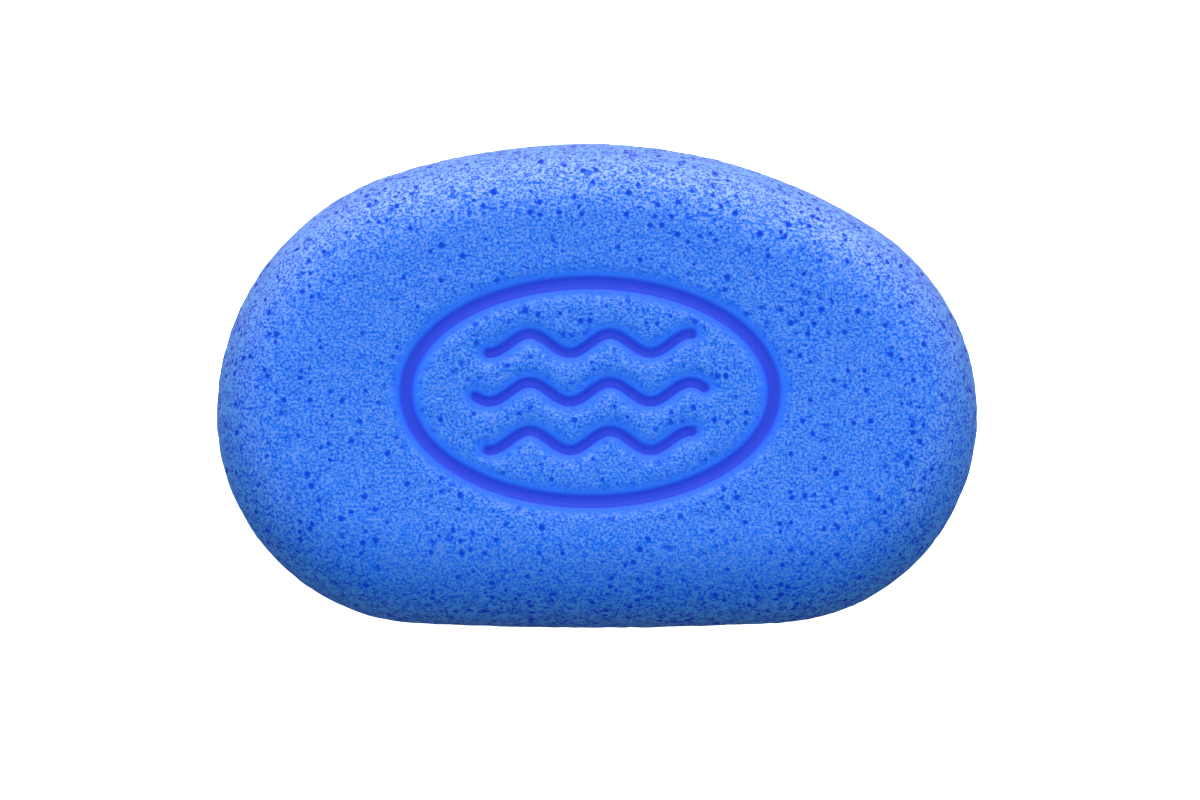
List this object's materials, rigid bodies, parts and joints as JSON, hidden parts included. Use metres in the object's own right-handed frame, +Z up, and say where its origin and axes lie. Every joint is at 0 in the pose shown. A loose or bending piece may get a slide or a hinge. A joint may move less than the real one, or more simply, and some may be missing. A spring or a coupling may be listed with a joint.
{
  "type": "cleaning sponge",
  "caption": "Oval block of open-cell foam with a flat underside, rounded edges and a pressed face with an oval groove around ripple lines.",
  "frame": {"origin": "middle of the flat underside, at the centre of the sponge's bounding box seen from above", "axes": "+X along the sponge, +Y towards its arched far side, +Z up out of the pressed face"},
  "size_m": [0.12, 0.0766, 0.03],
  "materials": {
    "foam": "matt open-cell foam, fine pores"
  },
  "bodies": {
    "root": {"sponge": "foam"}
  },
  "joints": []
}
